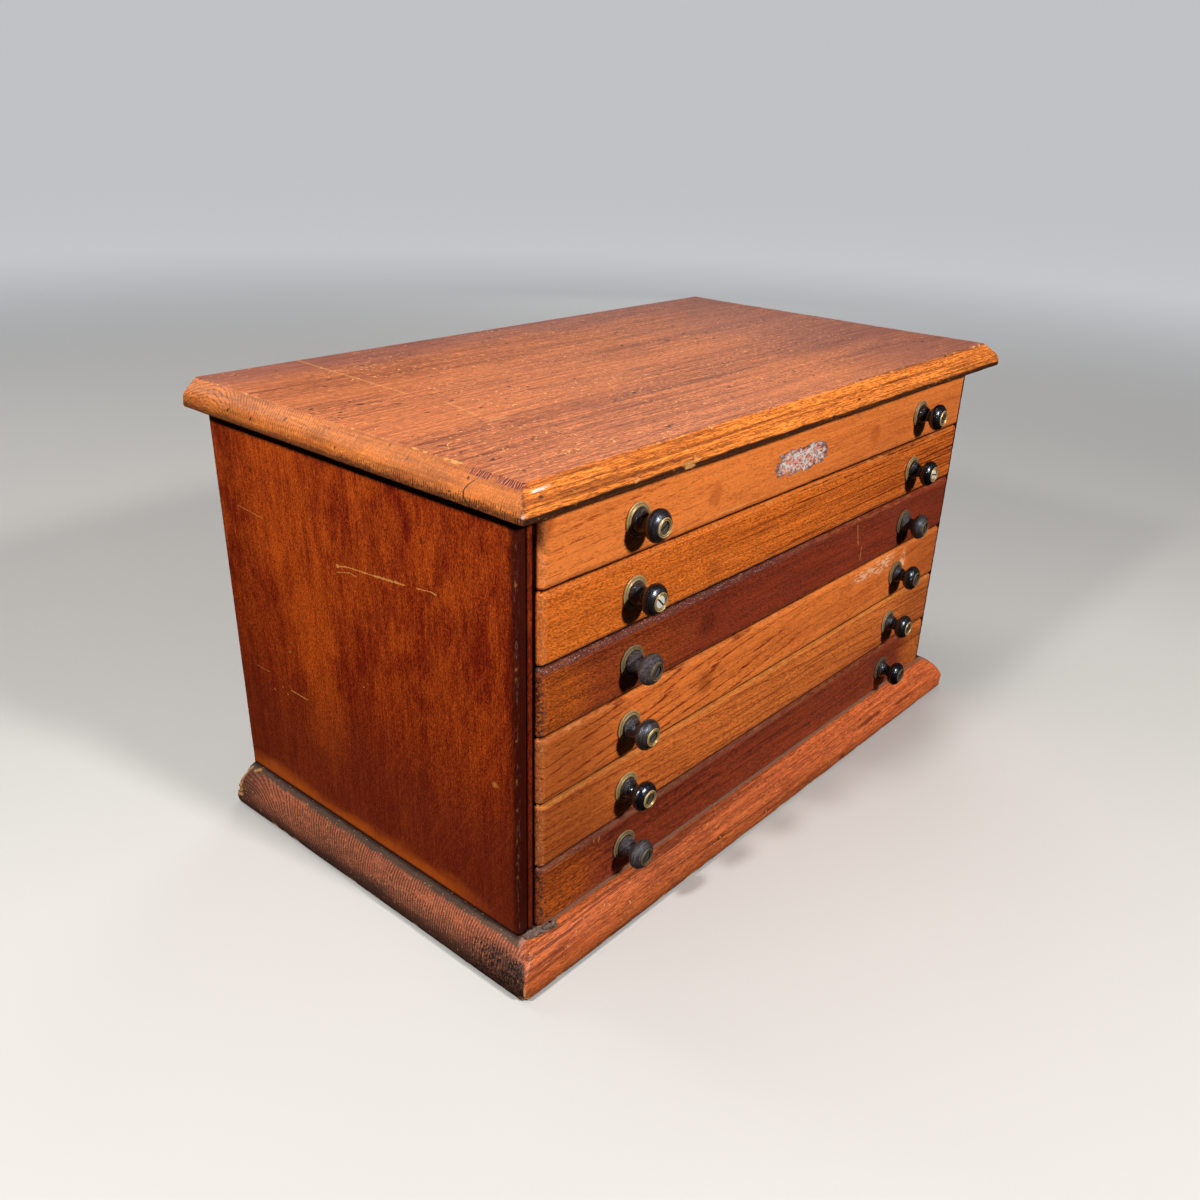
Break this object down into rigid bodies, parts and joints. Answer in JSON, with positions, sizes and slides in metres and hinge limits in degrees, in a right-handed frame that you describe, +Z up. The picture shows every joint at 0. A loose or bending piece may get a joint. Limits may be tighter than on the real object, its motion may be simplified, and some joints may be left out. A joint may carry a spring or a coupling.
{
  "type": "spool cabinet",
  "caption": "Low wooden counter-top cabinet of shallow full-width spool drawers with turned black knobs on brass rosettes, between a moulded top and base board.",
  "frame": {"origin": "centre of the flat underside of the base board, under the middle of the case", "axes": "+X to the right along the drawer fronts, -Y out of the drawer fronts, +Z up"},
  "size_m": [0.707, 0.3987, 0.4065],
  "materials": {
    "top_wood": "worn satin varnish over reddish-brown wood, streaked along its length",
    "base_wood": "worn orange-brown varnish, darker and dusty at the ends",
    "side_wood": "deep red-brown satin varnish with orange figure",
    "orange_front_wood": "orange-brown satin varnish, straight pored grain",
    "dark_front_wood": "dark red-brown satin varnish",
    "drawer_box_wood": "bare, aged pale wood",
    "back_wood": "unpolished, darkened wood",
    "ebonised_wood": "polished black, worn to brown in places",
    "aged_brass": "turned rings, dulled with age"
  },
  "bodies": {
    "case": {"base_board": "base_wood", "side_panel_left": "side_wood", "side_panel_right": "side_wood", "back_panel": "back_wood", "top_board": "top_wood"},
    "drawer_1": {"drawer_1_front": "orange_front_wood", "drawer_1_side_left": "drawer_box_wood", "drawer_1_side_right": "drawer_box_wood", "drawer_1_back": "drawer_box_wood", "drawer_1_bottom": "drawer_box_wood", "drawer_1_rosette_left": "aged_brass", "drawer_1_rosette_right": "aged_brass", "drawer_1_knob_left": "ebonised_wood", "drawer_1_knob_right": "ebonised_wood"},
    "drawer_2": {"drawer_2_front": "orange_front_wood", "drawer_2_side_left": "drawer_box_wood", "drawer_2_side_right": "drawer_box_wood", "drawer_2_back": "drawer_box_wood", "drawer_2_bottom": "drawer_box_wood", "drawer_2_rosette_left": "aged_brass", "drawer_2_rosette_right": "aged_brass", "drawer_2_knob_left": "ebonised_wood", "drawer_2_knob_right": "ebonised_wood"},
    "drawer_3": {"drawer_3_front": "dark_front_wood", "drawer_3_side_left": "drawer_box_wood", "drawer_3_side_right": "drawer_box_wood", "drawer_3_back": "drawer_box_wood", "drawer_3_bottom": "drawer_box_wood", "drawer_3_rosette_left": "aged_brass", "drawer_3_rosette_right": "aged_brass", "drawer_3_knob_left": "ebonised_wood", "drawer_3_knob_right": "ebonised_wood"},
    "drawer_4": {"drawer_4_front": "orange_front_wood", "drawer_4_side_left": "drawer_box_wood", "drawer_4_side_right": "drawer_box_wood", "drawer_4_back": "drawer_box_wood", "drawer_4_bottom": "drawer_box_wood", "drawer_4_rosette_left": "aged_brass", "drawer_4_rosette_right": "aged_brass", "drawer_4_knob_left": "ebonised_wood", "drawer_4_knob_right": "ebonised_wood"},
    "drawer_5": {"drawer_5_front": "orange_front_wood", "drawer_5_side_left": "drawer_box_wood", "drawer_5_side_right": "drawer_box_wood", "drawer_5_back": "drawer_box_wood", "drawer_5_bottom": "drawer_box_wood", "drawer_5_rosette_left": "aged_brass", "drawer_5_rosette_right": "aged_brass", "drawer_5_knob_left": "ebonised_wood", "drawer_5_knob_right": "ebonised_wood"},
    "drawer_6": {"drawer_6_front": "dark_front_wood", "drawer_6_side_left": "drawer_box_wood", "drawer_6_side_right": "drawer_box_wood", "drawer_6_back": "drawer_box_wood", "drawer_6_bottom": "drawer_box_wood", "drawer_6_rosette_left": "aged_brass", "drawer_6_rosette_right": "aged_brass", "drawer_6_knob_left": "ebonised_wood", "drawer_6_knob_right": "ebonised_wood"}
  },
  "joints": [
    {"name": "drawer_1_slide", "type": "slide", "parent": "case", "child": "drawer_1", "axis": [0, -1, 0], "range_m": [0, 0.25]},
    {"name": "drawer_2_slide", "type": "slide", "parent": "case", "child": "drawer_2", "axis": [0, -1, 0], "range_m": [0, 0.25]},
    {"name": "drawer_3_slide", "type": "slide", "parent": "case", "child": "drawer_3", "axis": [0, -1, 0], "range_m": [0, 0.25]},
    {"name": "drawer_4_slide", "type": "slide", "parent": "case", "child": "drawer_4", "axis": [0, -1, 0], "range_m": [0, 0.25]},
    {"name": "drawer_5_slide", "type": "slide", "parent": "case", "child": "drawer_5", "axis": [0, -1, 0], "range_m": [0, 0.25]},
    {"name": "drawer_6_slide", "type": "slide", "parent": "case", "child": "drawer_6", "axis": [0, -1, 0], "range_m": [0, 0.25]}
  ]
}
